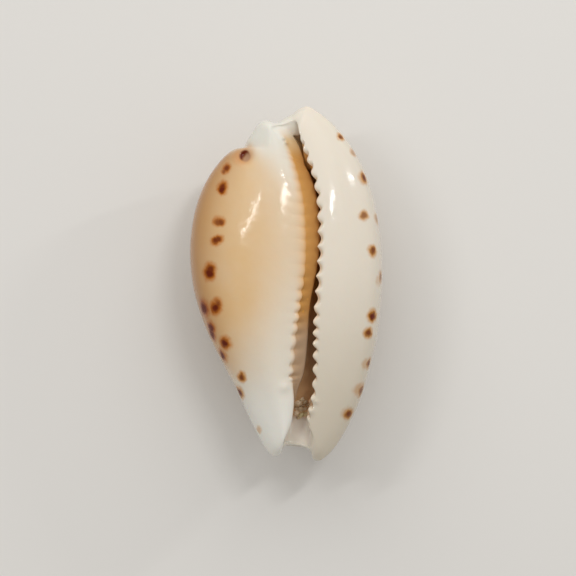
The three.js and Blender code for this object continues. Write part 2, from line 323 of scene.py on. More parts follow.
def smooth_ring(points, times):
    """Averages each point of a closed ring with its neighbours, again and again."""
    for _ in range(times):
        points = [
            (points[i - 1] + 2.0 * points[i] + points[(i + 1) % len(points)]) / 4.0
            for i in range(len(points))
        ]
    return points


def bridged_outline():
    """The outline with each end notch bridged by a line between its two horns."""
    points = [station.outline.copy() for station in STATIONS]
    for start, end in ((0, FIRST_OUTER - 1), (FIRST_FRONT, LAST_FRONT)):
        for i in range(start, end + 1):
            share = (i - start) / (end - start)
            points[i] = STATIONS[start].outline.lerp(STATIONS[end].outline, share)
    return points


SOFT_OUTLINE = smooth_ring(bridged_outline(), 8)


def margin_point(station):
    x, y, _ = station.outline
    return Vector((x, y, margin_height(x, y) - NOTCHED_MARGIN_DROP * station.notch))


def back_ring(degrees):
    angle = math.radians(degrees)
    pull = LOW_PULL if degrees < HIGH_FROM else HIGH_PULL
    points = []
    for station, soft in zip(STATIONS, SOFT_OUTLINE):
        reach = math.sin(angle) * (1.0 - pull * snout(station))
        edge = soft.lerp(station.outline, smoothstep(reach, 0.7, 1.0))
        climb = 1.0 - SNOUT_DROP * snout(station)
        if degrees == BACK_RINGS[1]:
            climb = FIRST_RING_CLIMB
        point = REST_SPOT.lerp(edge, reach)
        point.z = (1.0 - math.cos(angle)) * margin_point(station).z * climb
        points.append(point)
    return points


def near_spire(station):
    return smoothstep(station.rim.y, *SPIRE_CANAL)


def base_ring(degrees):
    angle = math.radians(degrees)
    across = 1.0 - math.cos(angle)
    points = []
    for station in STATIONS:
        up = math.sin(angle) ** mix(OUTER_FULLNESS, INNER_FULLNESS, station.side)
        point = station.outline.lerp(station.rim, across)
        curl = (OUTER_CURL + MORE_INNER_CURL * station.side) * across ** CURL_POWER
        curl *= 1.0 - CANAL_CURL_LOSS * near_spire(station)
        top = base_height(point.y) - NOTCH_DEPTH * station.notch - curl
        point.z = mix(margin_point(station).z, top, up)
        points.append(point)
    return points


def flank(station):
    """How gently a station's wall slopes into an end canal, from 0 to 1."""
    y = station.rim.y
    if y > 0.0:
        return near_spire(station)
    return smoothstep(-y, *FRONT_CANAL) * (1.0 - smoothstep(station.side, 0.3, 0.6))


def lip_ring(outer, inner, spire_flank, front_flank, notch):
    full = cross_section(0.0)[0]
    points = []
    for station, rim in zip(STATIONS, base_ring(90)):
        share = min(max(cross_section(rim.y)[0] / full, NARROWEST_SHARE), 1.0)
        narrowed = 1.0 - OUTER_STEP_LOSS * smoothstep(abs(rim.y), *OUTER_STEP_ENDS)
        outer_step = outer[0] * share * narrowed
        inner_step = inner[0] * read_line(LEDGE_WIDTHS, rim.y)
        step = mix(outer_step, inner_step, station.side)
        drop = mix(outer[1], inner[1], station.side) * min(FULL_DROP_SHARE * share, 1.0)
        along = smoothstep(abs(rim.y), *ALONG_ENDS)
        if rim.y > 0.0:
            gentle = spire_flank
            inwards = mix(*SPIRE_ACROSS, station.side)
            along = mix(along, mix(*SPIRE_ALONG, station.side), near_spire(station))
        else:
            gentle = front_flank
            inwards = 2.0 * station.side - 1.0
        step = mix(step, gentle[0] * inwards, flank(station))
        drop = mix(drop, gentle[1], flank(station))
        run = math.copysign(notch[0], rim.y) * along
        points.append(rim + Vector((step, -run, mix(drop, notch[1], station.notch))))
    return points


def make_keel():
    """The line of the back from end to end, as (y, height) pairs."""
    ends = (FIRST_OUTER // 2, FIRST_FRONT + len(FRONT_NOTCH) // 2)
    rings = [back_ring(degrees) for degrees in BACK_RINGS]
    return sorted((ring[i].y, ring[i].z) for ring in rings for i in ends)


KEEL = make_keel()


def hollow_ring(turn, reach, open_share):
    """One ring of the hollow: a loop in a half plane that is wound round the axis."""
    angle = math.radians(turn)
    points = []
    for station in STATIONS:
        rim_y = station.rim.y
        inset = HOLLOW_INSET * (rim_y / RIM_END_Y) ** 2
        y = HOLLOW_MIDDLE_Y * (1.0 - reach) + rim_y * (1.0 - inset) * (reach / HOLLOW_REACH)
        half, middle = cross_section(y)
        axis = margin_height(middle, y) - AXIS_DROP
        below = axis - read_line(KEEL, y)
        above = base_height(y) - axis
        out_x = half * math.sin(angle)
        out_z = (above if math.cos(angle) > 0.0 else below) * math.cos(angle)
        near_end = smoothstep(abs(y), *MOUTH_ENDS)
        ends = 0.8 * abs(y / 10.0) ** 3 + 0.35 * near_end
        wall = WALL + 0.3 * max(math.cos(angle), 0.0) + ends
        inner_share = mix(0.5, 0.45, (turn - HOLLOW_START) / HOLLOW_TURN)
        outer_share = max(1.0 - wall / math.hypot(out_x, out_z), inner_share + 0.13)
        share = mix(outer_share, inner_share, mix(0.5, station.side, open_share))
        mouth = min(max((HOLLOW_START + MOUTH_TURN - turn) / MOUTH_TURN, 0.0), 1.0) * near_end
        sag = (1.3 * min(below / 7.0, 1.0) + 1.1 * mouth) * (1.0 - share)
        x = middle - 0.3 * (1.0 - share) + share * out_x
        points.append(Vector((x, y, axis - sag + share * out_z)))
    if reach > 0.0:
        return points
    pole = sum(points, Vector()) / len(points)
    return [pole.copy() for _ in points]


SPLINE_ROUNDS = 40


def spline_controls(points, closed):
    """Control points of the cubic spline that passes through the points given."""
    controls = [point.copy() for point in points]
    last = len(points) - 1
    for _ in range(SPLINE_ROUNDS):
        before = controls[-1:] + controls[:-1]
        after = controls[1:] + controls[:1]
        if not closed:
            before[0] = 2.0 * controls[0] - controls[1]
            after[last] = 2.0 * controls[last] - controls[last - 1]
        controls = [
            c + (p - (b + 4.0 * c + a) / 6.0)
            for c, p, b, a in zip(controls, points, before, after)
        ]
    if closed:
        return controls[-1:] + controls + controls[:2]
    start = 2.0 * controls[0] - controls[1]
    end = 2.0 * controls[last] - controls[last - 1]
    return [start] + controls + [end, end + (end - controls[last])]


def spline_point(controls, t):
    i = int(t)
    f = t - i
    weights = (
        (1.0 - f) ** 3 / 6.0,
        (3.0 * f ** 3 - 6.0 * f ** 2 + 4.0) / 6.0,
        (-3.0 * f ** 3 + 3.0 * f ** 2 + 3.0 * f + 1.0) / 6.0,
        f ** 3 / 6.0,
    )
    a, b, c, d = controls[i:i + 4]
    return a * weights[0] + b * weights[1] + c * weights[2] + d * weights[3]


def shell_rings():
    rings = [back_ring(degrees) for degrees in BACK_RINGS]
    rings.append([margin_point(station) for station in STATIONS])
    rings += [base_ring(degrees) for degrees in BASE_RINGS]
    rings += [lip_ring(*steps) for steps in LIP_RINGS]
    rings += [hollow_ring(*values) for values in HOLLOW_RINGS]
    return rings


def control_net(rings):
    """Spline controls both round the rings and along the sections."""
    net = [spline_controls(ring, closed=True) for ring in rings]
    return [spline_controls(list(column), closed=False) for column in zip(*net)]


def mesh_ring_places():
    places = [0.0]
    for start, end, count in MESH_RINGS:
        places += [mix(start, end, (i + 1) / count) for i in range(count)]
    return places


STEPS_PER_STATION = 40


def mesh_column_places(rim):
    """Spreads the columns evenly along the opening's rim, counted in stations."""
    rim_controls = spline_controls(rim, closed=True)
    total = len(STATIONS)
    steps = [i / STEPS_PER_STATION for i in range(total * STEPS_PER_STATION + 1)]
    lengths = [0.0]
    points = [spline_point(rim_controls, t % total) for t in steps]
    for a, b in zip(points, points[1:]):
        lengths.append(lengths[-1] + (b - a).length)
    pairs = list(zip(lengths, steps))
    places = []
    i = 0
    for column in range(MESH_COLUMNS):
        wanted = lengths[-1] * column / MESH_COLUMNS
        while pairs[i + 1][0] < wanted:
            i += 1
        (x0, y0), (x1, y1) = pairs[i], pairs[i + 1]
        places.append(mix(y0, y1, (wanted - x0) / (x1 - x0)))
    return places


def fade_in_out(value, start, end):
    rise = smoothstep(value, start - 0.5, start + 0.5)
    return rise * (1.0 - smoothstep(value, end - 0.5, end + 0.5))


def tooth_wave(place, scalloped):
    """0 on a tooth and 1 between two: sharp folds, or broad scallops and sharp teeth."""
    turn = 2.0 * math.pi * place
    folded = 1.0 - math.sqrt(math.cos(turn) ** 2 + 0.012)
    arched = math.sqrt(math.sin(turn) ** 2 + 0.012) - 0.11
    return mix(folded, arched, scalloped)


def tooth_fold(ring, place, y):
    """How deep a fold between two teeth is at this spot, from 0 to 1."""
    outer = fade_in_out(place, FIRST_OUTER - 0.5, LAST_OUTER + 0.5)
    inner = fade_in_out(place, FIRST_INNER_TOOTH - 0.5, LAST_INNER_TOOTH + 0.5)
    into = 1.0 - smoothstep(ring, 12.6, 14.4)
    if outer > 0.0:
        outer *= smoothstep(ring, 11.45, 12.1) * mix(1.12, 1.0, smoothstep(y, -4.0, -1.0))
        outer *= mix(1.35, 1.0, smoothstep(y, -9.6, -8.4))
        scalloped = smoothstep(y, -2.4, -1.0) * (1.0 - smoothstep(y, 3.6, 5.0))
        return outer * into * tooth_wave(place, scalloped)
    sharp = mix(0.6, 0.16, smoothstep(y, -1.6, 2.0))
    inner *= mix(0.07 * smoothstep(ring, 11.3, 11.8), sharp, smoothstep(ring, 11.75, 12.15))
    inner *= mix(1.5, 1.0, smoothstep(y, -7.2, -6.4))
    return inner * into * tooth_wave(place, 0.0)


# Small enamel lumps beside the opening: place, radius and height.
LUMPS = (
    (-0.16, 11.52, 0.17, 0.13),
    (0.04, 11.16, 0.16, 0.12),
    (2.00, -9.16, 0.30, 0.19),
    (1.88, -10.06, 0.33, 0.21),
    (2.36, -9.32, 0.20, 0.10),
    (2.10, -8.80, 0.18, 0.08),
    (-0.10, -8.20, 0.40, 0.12),
)


def lump_height(point):
    flat = Vector((point.x, point.y))
    return max(
        height * math.exp(-((flat - Vector((x, y))).length / radius) ** 2)
        for x, y, radius, height in LUMPS
    )


PIT = Vector((-3.29, 10.08, 0.0))
PIT_DEPTH = 0.5
PIT_RADIUS = 0.46
GROOVE_END = PIT + Vector((-0.16, 1.2, 0.0))
GROOVE_SHARE = 0.35
GROOVE_RADIUS = 0.26


def pit_depth(point):
    """The sunken spire, with a groove that runs out of it to the margin."""
    flat = Vector((point.x, point.y, 0.0))
    run = GROOVE_END - PIT
    along = min(max((flat - PIT).dot(run) / run.length_squared, 0.0), 1.0)
    from_groove = (flat - PIT.lerp(GROOVE_END, along)).length
    pit = math.exp(-((flat - PIT).length / PIT_RADIUS) ** 2)
    groove = GROOVE_SHARE * math.exp(-(from_groove / GROOVE_RADIUS) ** 2)
    return PIT_DEPTH * max(pit, groove)


# Which way the folds between the teeth sink in: away from the opening, and down.
FOLD_ACROSS, FOLD_DOWN = 0.85, -0.5
# The part of the inner side that holds the pit, and where the lumps start.
PIT_SIDE_X, PIT_SIDE_Y = -1.5, 8.5
LUMPS_FROM_Y = 7.0


def add_layers(bm):
    """What the finish needs to know about each spot of the skin."""
    return {name: bm.verts.layers.float.new(name) for name in ("ring", "fold", "side")}


def build_shell_mesh(tooth_depth):
    """Rolls a flat sheet into the closed skin: one edge is the resting spot, the other
    the blind end of the hollow, and the two sides meet in the spire notch."""
    rings = shell_rings()
    ring_places = mesh_ring_places()
    column_places = mesh_column_places(rings[RIM_RING])
    net_rows = list(zip(*control_net(rings)))
    sections = [[spline_point(row, place) for row in net_rows] for place in column_places]

    bm = bmesh.new()
    last = len(ring_places) - 1
    bmesh.ops.create_grid(bm, x_segments=MESH_COLUMNS, y_segments=last, size=1.0)
    layers = add_layers(bm)
    for vertex in bm.verts:
        column = round((1.0 + vertex.co.x) / 2.0 * MESH_COLUMNS) % MESH_COLUMNS
        ring = ring_places[round((1.0 + vertex.co.y) / 2.0 * last)]
        place = column_places[column]
        point = spline_point(sections[column], min(ring, RING_COUNT - 1.0001))
        fold = tooth_fold(ring, place, point.y)
        across = FOLD_ACROSS if place < LAST_FRONT else -FOLD_ACROSS
        point += Vector((across, 0.0, FOLD_DOWN)) * fold * tooth_depth
        on_base = MARGIN_RING - 1.0 < ring < RIM_RING
        if on_base and point.x < PIT_SIDE_X and point.y > PIT_SIDE_Y:
            point.z -= pit_depth(point) * smoothstep(ring, MARGIN_RING - 1.0, MARGIN_RING + 1.0)
        by_opening = MARGIN_RING + 2.0 < ring < RIM_RING + 2.5
        if by_opening and abs(point.y) > LUMPS_FROM_Y:
            point.z += lump_height(point) * (1.0 - smoothstep(ring, RIM_RING + 1.0, RIM_RING + 2.5))
        point.z = max(point.z - REST_SINK, 0.0)
        vertex.co = point
        i = int(place)
        after = STATIONS[(i + 1) % len(STATIONS)]
        vertex[layers["ring"]] = ring
        vertex[layers["side"]] = mix(STATIONS[i].side, after.side, place - i)
        vertex[layers["fold"]] = fold
    bmesh.ops.remove_doubles(bm, verts=bm.verts, dist=1e-6)
    if bm.calc_volume(signed=True) < 0.0:
        bmesh.ops.reverse_faces(bm, faces=bm.faces)
    return bm


def place_in_frame(bm):
    """Scales the drawn shell to metres and sets it over the frame's origin."""
    bmesh.ops.scale(bm, vec=(DRAWN_SCALE,) * 3, verts=bm.verts)
    low = [min(vertex.co[axis] for vertex in bm.verts) for axis in range(3)]
    high = [max(vertex.co[axis] for vertex in bm.verts) for axis in range(3)]
    shift = Vector(((-low[0] - high[0]) / 2.0, (-low[1] - high[1]) / 2.0, -low[2]))
    bmesh.ops.translate(bm, vec=shift, verts=bm.verts)


def finish_mesh(bm, name, material):
    """Makes a smooth-shaded object of a bmesh and shows it."""
    mesh = bpy.data.meshes.new(name)
    bm.to_mesh(mesh)
    bm.free()
    mesh.materials.append(material)
    mesh.polygons.foreach_set("use_smooth", [True] * len(mesh.polygons))
    piece = bpy.data.objects.new(name, mesh)
    bpy.context.scene.collection.objects.link(piece)
    return piece


# ---------------------------------------------------------------------------
# Finish. Places are millimetres from the middle of the shell, +Y towards the
# spire. A ring is counted as in the mesh: 7 is the margin, 12 the opening's
# rim, 16 the foot of the lips. A side is 0 on the outer lip and 1 on the inner.
# ---------------------------------------------------------------------------

MM = 0.001

# Brown spots on the base and its margins: place across and along the shell,
# radius, and how dark the middle is. A long spot is two that overlap.
SPOTS = (
    (-4.68, 9.18, 0.27, 0.80),
    (-4.92, 8.92, 0.20, 0.55),
    (-5.02, 7.70, 0.30, 0.90),
    (-5.08, 7.46, 0.30, 1.00),
    (-5.40, 4.90, 0.27, 0.66),
    (-5.16, 4.90, 0.27, 0.76),
    (-5.56, 3.36, 0.27, 0.88),
    (-5.30, 3.46, 0.26, 0.84),
    (-6.06, 0.82, 0.40, 1.00),
    (-5.96, 1.14, 0.36, 0.90),
    (-5.62, -1.92, 0.37, 1.00),
    (-5.42, -1.60, 0.30, 0.70),
    (-6.56, -1.98, 0.52, 1.00),
    (-5.99, -3.52, 0.42, 1.00),
    (-5.90, -4.05, 0.42, 1.00),
    (-4.84, -4.74, 0.38, 1.00),
    (-5.06, -5.75, 0.42, 1.00),
    (-3.53, -7.40, 0.29, 0.85),
    (-3.68, -8.68, 0.40, 1.00),
    (4.33, 11.65, 0.25, 0.80),
    (5.36, 10.40, 0.26, 0.30),
    (6.20, 8.40, 0.37, 0.95),
    (6.17, 5.38, 0.28, 0.62),
    (7.22, 5.15, 0.32, 0.40),
    (6.88, 2.58, 0.31, 0.82),
    (7.54, 0.48, 0.38, 0.60),
    (6.90, -2.58, 0.37, 1.00),
    (6.52, -3.92, 0.31, 0.85),
    (6.58, -6.35, 0.33, 0.85),
    (5.98, -8.50, 0.37, 0.75),
    (4.99, -10.34, 0.33, 0.85),
)

# Faint orange stains that reach past a spot on one side of it.
STAINS = (
    (6.02, 8.38, 0.24, 0.35),
    (6.36, -6.33, 0.28, 0.60),
    (5.84, -8.42, 0.36, 0.80),
    (4.84, -10.32, 0.34, 0.50),
    (7.36, 0.20, 0.30, 0.35),
    (-2.14, -11.64, 0.20, 0.80),
)

# Worn pinholes in the ledge.
PINHOLES = (
    (1.36, -2.20, 0.12, 0.7),
    (1.72, -1.24, 0.09, 0.5),
)

# Spots on a steep margin are longer down the slope, so that they look round from above.
FLATTEN = (1.0, 1.0, 0.7)


def colour(code):
    """A linear RGBA colour from six hexadecimal digits."""
    channels = [int(code[i:i + 2], 16) / 255.0 for i in (0, 2, 4)]
    linear = [c / 12.92 if c <= 0.04045 else ((c + 0.055) / 1.055) ** 2.4 for c in channels]
    return (*linear, 1.0)


class Wiring:
    """Adds nodes to a material or a node group and joins them up."""

    def __init__(self, tree):
        self.tree = tree

    def add(self, kind, inputs=(), **settings):
        node = self.tree.nodes.new(kind)
        for name, value in settings.items():
            setattr(node, name, value)
        for socket, value in dict(inputs).items():
            self.feed(node.inputs[socket], value)
        return node

    def feed(self, socket, value):
        if isinstance(value, bpy.types.NodeSocket):
            self.tree.links.new(value, socket)
        else:
            socket.default_value = value

    def maths(self, operation, *values, clamp=False):
        node = self.add("ShaderNodeMath", enumerate(values), operation=operation)
        node.use_clamp = clamp
        return node.outputs[0]

    def vector_maths(self, operation, *values):
        node = self.add("ShaderNodeVectorMath", enumerate(values), operation=operation)
        return node.outputs["Value" if operation == "DISTANCE" else "Vector"]

    def scaled(self, vector, factor):
        node = self.add("ShaderNodeVectorMath", {0: vector, "Scale": factor}, operation="SCALE")
        return node.outputs["Vector"]

    def millimetres(self):
        """The place on the piece in millimetres."""
        return self.scaled(self.add("ShaderNodeTexCoord").outputs["Object"], 1.0 / MM)

    def ramp(self, value, start, end, low=0.0, high=1.0):
        """Turns start..end into low..high, smoothly, and holds it beyond."""
        node = self.add("ShaderNodeMapRange", interpolation_type="SMOOTHSTEP")
        for socket, given in zip(node.inputs, (value, start, end, low, high)):
            self.feed(socket, given)
        return node.outputs["Result"]

    def blend(self, share, first, second, mode="MIX"):
        node = self.add("ShaderNodeMix", data_type="RGBA", blend_type=mode)
        for socket, given in ((0, share), (6, first), (7, second)):
            self.feed(node.inputs[socket], given)
        return node.outputs[2]

    def attribute(self, name):
        return self.add("ShaderNodeAttribute", attribute_name=name).outputs["Fac"]

    def noise(self, vector, scale, detail=2.0, roughness=0.5):
        inputs = {"Vector": vector, "Scale": scale, "Detail": detail, "Roughness": roughness}
        return self.add("ShaderNodeTexNoise", inputs).outputs


def new_group(name, inputs, outputs):
    """A shader node group with its sockets, and the wiring to fill it."""
    group = bpy.data.node_groups.new(name, "ShaderNodeTree")
    for socket, kind in inputs:
        group.interface.new_socket(name=socket, in_out="INPUT", socket_type=kind)
    for socket, kind in outputs:
        group.interface.new_socket(name=socket, in_out="OUTPUT", socket_type=kind)
    wiring = Wiring(group)
    return group, wiring, wiring.add("NodeGroupInput").outputs


def spot_group():
    """One round spot: a dark core and the stain that bleeds out of it."""
    name = "Shell Spot"
    if name in bpy.data.node_groups:
        return bpy.data.node_groups[name]
    inputs = (
        ("Position", "NodeSocketVector"),
        ("Centre", "NodeSocketVector"),
        ("Radius", "NodeSocketFloat"),
        ("Strength", "NodeSocketFloat"),
        ("Core So Far", "NodeSocketFloat"),
        ("Stain So Far", "NodeSocketFloat"),
    )
    outputs = (("Core", "NodeSocketFloat"), ("Stain", "NodeSocketFloat"))
    group, w, given = new_group(name, inputs, outputs)
    distance = w.vector_maths("DISTANCE", given["Position"], given["Centre"])
    radii = w.maths("DIVIDE", distance, given["Radius"])
    core = w.maths("MULTIPLY", w.ramp(radii, 0.38, 1.36, 1.0, 0.0), given["Strength"])
    spread = w.maths("POWER", given["Strength"], 0.5)
    stain = w.maths("MULTIPLY", w.ramp(radii, 0.80, 2.20, 1.0, 0.0), spread)
    w.add("NodeGroupOutput", {
        "Core": w.maths("MAXIMUM", core, given["Core So Far"]),
        "Stain": w.maths("MAXIMUM", stain, given["Stain So Far"]),
    })
    return group


def spots_on_shell(w, position, places):
    """Chains one spot after another; each keeps the stronger of its own and the last."""
    core, stain = 0.0, 0.0
    position = w.vector_maths("MULTIPLY", position, FLATTEN)
    for centre, radius, strength in places:
        node = w.add("ShaderNodeGroup", node_tree=spot_group())
        flat = centre * Vector(FLATTEN)
        given = (position, flat, radius, strength, core, stain)
        for socket, value in zip(node.inputs, given):
            w.feed(socket, value)
        core, stain = node.outputs["Core"], node.outputs["Stain"]
    return core, stain


DOWN = Vector((0.0, 0.0, -1.0))
MARGIN_HEIGHT_IN_FRAME = 7.5 * MM


def drop_on_shell(tree, x, y):
    """Where a point lands on the skin when it is dropped on it from above, in mm."""
    start = Vector((x * DRAWN_SCALE, y * DRAWN_SCALE, 1.0))
    hit = tree.ray_cast(start, DOWN)[0]
    if hit is None:
        hit = tree.find_nearest(Vector((start.x, start.y, MARGIN_HEIGHT_IN_FRAME)))[0]
    return hit / MM


def drop_spots(tree, rows):
    return [(drop_on_shell(tree, x, y), radius, strength) for x, y, radius, strength in rows]


def wandering(w, position, scale, reach):
    """Moves a position about a little, so that what is drawn there has uneven edges."""
    swing = w.vector_maths("SUBTRACT", w.noise(position, scale, 2.0)["Color"], (0.5, 0.5, 0.5))
    return w.vector_maths("ADD", position, w.scaled(swing, reach))


def base_colours(w, x, y, ring, side, cloud, colours):
    """The underside: tan with a honey margin on the inner side, pale lip and ends. The honey margin
    is darkened further as painted shade, and the lip grows darker towards the front end, partly
    painted shade.
    """
    slant = w.maths("SUBTRACT", y, w.maths("MULTIPLY", x, 1.33))
    tan = w.ramp(slant, -7.0, 3.5)
    slant = w.maths("ADD", y, w.maths("MULTIPLY", x, 0.9))
    tan = w.maths("MULTIPLY", tan, w.ramp(slant, 6.6, 9.8, 1.0, 0.0))
    tan = w.maths("MULTIPLY", tan, w.ramp(x, -3.6, 0.4, 1.0, 0.58))
    tan = w.maths("MULTIPLY", tan, side)
    tan = w.maths("MULTIPLY", tan, w.ramp(cloud, 0.25, 0.75, 0.8, 1.0))
    inner = w.blend(tan, colours.pearl, colours.tan)
    # Honey margin: the shell's own colour, made darker as painted shade where the margin falls
    # away.
    honey = w.ramp(ring, 7.2, 9.9, 1.0, 0.0)
    honey = w.maths("MULTIPLY", honey, w.ramp(y, -9.0, -1.0))
    honey = w.maths("MULTIPLY", honey, w.ramp(y, 10.0, 11.6, 1.0, 0.0))
    inner = w.blend(w.maths("MULTIPLY", honey, 0.9), inner, colours.honey)
    # The outer lip turns darker towards the front end: partly a greener tone of its own, partly
    # painted shade.
    outer = w.blend(w.ramp(y, -11.0, 3.0), colours.shaded_lip_front, colours.cream)
    skin = w.blend(side, outer, inner)
    horn = w.maths("MULTIPLY", w.ramp(y, -11.0, -6.5, 1.0, 0.0), side)
    skin = w.blend(horn, skin, colours.horn)
    wander = w.maths("MULTIPLY", w.maths("SUBTRACT", cloud, 0.5), 3.0)
    knob = w.maths("MULTIPLY", w.ramp(w.maths("ADD", y, wander), 9.8, 12.6), side)
    return w.blend(knob, skin, colours.knob)


def back_colours(w, mm, cloud, colours):
    """The back, seen when the shell is turned over: fawn, with fine brown freckles."""
    freckle = w.add("ShaderNodeTexVoronoi", {"Vector": mm, "Scale": 1.5, "Randomness": 1.0})
    dots = w.ramp(freckle.outputs["Distance"], 0.18, 0.34, 1.0, 0.0)
    dots = w.maths("MULTIPLY", dots, w.ramp(w.noise(mm, 0.5, 2.0)["Fac"], 0.42, 0.58))
    back = w.blend(w.ramp(cloud, 0.35, 0.65), colours.back, colours.back_dark)
    return w.blend(w.maths("MULTIPLY", dots, 0.8), back, colours.spot)


def opening_colours(w, y, ring, side, skin, colours):
    """Golden ledge, brown crack beside it, and the pale floors of both canals, with a painted glow
    along the teeth's rims; the crack is painted paler as light shining through the shell.
    """
    ledge = w.blend(w.ramp(y, -4.6, -1.8), colours.ledge_front, colours.ledge)
    ledge = w.blend(w.ramp(y, 9.8, 11.3), ledge, colours.canal_sand)
    ledge = w.blend(w.ramp(y, 11.2, 12.2), ledge, colours.cream)
    ledge = w.blend(w.ramp(y, -10.4, -11.0), ledge, colours.canal)
    # The hollow's own brown is painted far paler here: painted light standing in for light that
    # shines through the shell.
    deep = w.blend(w.ramp(y, -5.0, 1.0), colours.deep_front, colours.deep)
    deep = w.blend(w.ramp(y, 9.8, 11.0), deep, ledge)
    deep = w.blend(w.ramp(y, -10.4, -11.0), deep, ledge)
    # Painted glow: a warm pale band along the teeth's rims stands in for light shining through the
    # thin enamel.
    edge = w.ramp(ring, 11.7, 12.15, 0.0, 0.45)
    middle = w.ramp(w.maths("ABSOLUTE", y), 10.2, 11.4, 1.0, 0.0)
    middle = w.maths("MULTIPLY", middle, w.ramp(y, -8.5, -3.0, 0.25, 1.0))
    skin = w.blend(w.maths("MULTIPLY", edge, middle), skin, colours.edge)
    golden = w.maths("MULTIPLY", side, w.ramp(y, -3.0, 1.0))
    start = w.maths("SUBTRACT", 12.3, w.maths("MULTIPLY", side, 0.42))
    start = w.maths("SUBTRACT", start, w.maths("MULTIPLY", golden, 0.36))
    start = w.maths("ADD", start, w.ramp(y, 10.8, 11.6, 0.0, 0.8))
    from_edge = w.maths("SUBTRACT", ring, start)
    softness = w.maths("ADD", 0.75, w.maths("MULTIPLY", golden, 0.55))
    skin = w.blend(w.ramp(from_edge, 0.0, softness), skin, ledge)
    return w.blend(w.ramp(ring, 15.0, 15.7), skin, deep)


def spire_pit(w, mm, tree, skin, colours):
    """Dark crescent of painted shade over the sunken spire, with a pinkish hollow under it."""
    hole_middle = drop_on_shell(tree, PIT.x + 0.08, PIT.y + 0.04)
    floor_middle = drop_on_shell(tree, PIT.x + 0.22, PIT.y - 0.14)
    from_hole = w.vector_maths("DISTANCE", mm, tuple(hole_middle))
    from_floor = w.vector_maths("DISTANCE", mm, tuple(floor_middle))
    hole = w.ramp(from_hole, 0.36, 0.60, 1.0, 0.0)
    floor = w.ramp(from_floor, 0.22, 0.54, 1.0, 0.0)
    shade_arch = w.maths("MULTIPLY", hole, w.maths("SUBTRACT", 1.0, floor))
    skin = w.blend(w.ramp(from_hole, 0.5, 1.3, 0.5, 0.0), skin, colours.stain, "MULTIPLY")
    skin = w.blend(w.maths("MULTIPLY", floor, 0.7), skin, colours.pit)
    # The crescent is painted shade, drawn in the spots' brown.
    return w.blend(shade_arch, skin, colours.spot)


ENAMEL_ROUGHNESS = (0.09, 0.14)
SPOT_DULLNESS = 0.3
COAT_WEIGHT = 0.08
RIPPLE_HEIGHT = 0.04 * MM


def porcelain_material(tree, colours):
    """Glossy enamel: tan towards the inner margin, cream on the outer lip, golden inside."""
    material = bpy.data.materials.new("cowrie_porcelain")
    material.use_nodes = True
    w = Wiring(material.node_tree)
    shader = material.node_tree.nodes["Principled BSDF"]

    mm = w.millimetres()
    axes = w.add("ShaderNodeSeparateXYZ", {0: mm}).outputs
    ring = w.attribute("ring")
    side = w.attribute("side")
    fold = w.attribute("fold")
    cloud = w.noise(mm, 0.28, 3.0)["Fac"]

    base = base_colours(w, axes["X"], axes["Y"], ring, side, cloud, colours)
    back = back_colours(w, mm, cloud, colours)
    height = w.maths("ADD", axes["Z"], w.maths("MULTIPLY", cloud, 1.5))
    skin = w.blend(w.ramp(height, 4.0, 6.2), back, base)

    warped = wandering(w, mm, 1.6, 0.45)
    core, stain = spots_on_shell(w, warped, drop_spots(tree, SPOTS))
    smudge = spots_on_shell(w, wandering(w, mm, 1.1, 0.7), drop_spots(tree, STAINS))[1]
    stain = w.maths("MAXIMUM", stain, w.maths("MULTIPLY", smudge, 0.6))
    skin = w.blend(stain, skin, colours.stain, "MULTIPLY")
    skin = w.blend(core, skin, colours.spot)
    skin = spire_pit(w, mm, tree, skin, colours)

    skin = opening_colours(w, axes["Y"], ring, side, skin, colours)
    pinholes = spots_on_shell(w, mm, drop_spots(tree, PINHOLES))[0]
    skin = w.blend(pinholes, skin, colours.deep)
    # Painted shade: the folds between the teeth are tinted towards the ledge colour.
    skin = w.blend(w.maths("MULTIPLY", fold, 0.3), skin, colours.ledge)

    w.feed(shader.inputs["Base Color"], skin)
    roughness = w.ramp(cloud, 0.3, 0.7, *ENAMEL_ROUGHNESS)
    duller = w.maths("MULTIPLY", core, SPOT_DULLNESS)
    w.feed(shader.inputs["Roughness"], w.maths("ADD", roughness, duller))
    shader.inputs["IOR"].default_value = 1.48
    shader.inputs["Specular IOR Level"].default_value = 0.16
    shader.inputs["Subsurface Weight"].default_value = 0.08
    shader.inputs["Subsurface Radius"].default_value = (1.0, 0.5, 0.25)
    shader.inputs["Subsurface Scale"].default_value = 0.5 * MM
    w.feed(shader.inputs["Coat Weight"], w.ramp(core, 0.0, 1.0, COAT_WEIGHT, 0.0))
    shader.inputs["Coat Roughness"].default_value = 0.04
    ripple = w.noise(mm, 0.9, 2.0, 0.4)["Fac"]
    bump = w.add("ShaderNodeBump", {"Height": ripple, "Strength": 0.6, "Distance": RIPPLE_HEIGHT})
    w.feed(shader.inputs["Normal"], bump.outputs["Normal"])
    return material


def floor_material(tint):
    material = bpy.data.materials.new("studio_floor")
    material.use_nodes = True
    shader = material.node_tree.nodes["Principled BSDF"]
    shader.inputs["Base Color"].default_value = tint
    shader.inputs["Roughness"].default_value = 0.9
    return material


# Grains of sand: place across and along the shell, size, and 0 for a dark grain,
# 0.5 for a pale one and 1 for a green one.
GRAINS = (
    (0.96, -9.52, 1.9, 0.5),
    (0.90, -9.98, 1.5, 0.45),
    (1.26, -9.72, 1.5, 0.35),
    (1.20, -10.12, 1.4, 0.3),
    (0.88, -10.38, 1.1, 0.6),
    (1.20, -10.54, 1.25, 0.95),
    (1.58, -10.46, 1.15, 0.9),
    (1.50, -10.05, 1.0, 0.4),
    (1.52, -9.46, 1.2, 0.3),
    (1.30, -9.22, 1.0, 0.5),
    (0.98, -10.72, 0.9, 0.2),
    (1.74, -9.74, 0.8, 0.5),
)
GRIT_SEED = 7
SMALL_GRAINS = 14
SMALL_GRAINS_X = (0.72, 1.72)
SMALL_GRAINS_Y = (-10.8, -9.2)
SMALL_GRAIN_SIZES = (0.3, 0.65)
GRAIN_SINK = 0.25


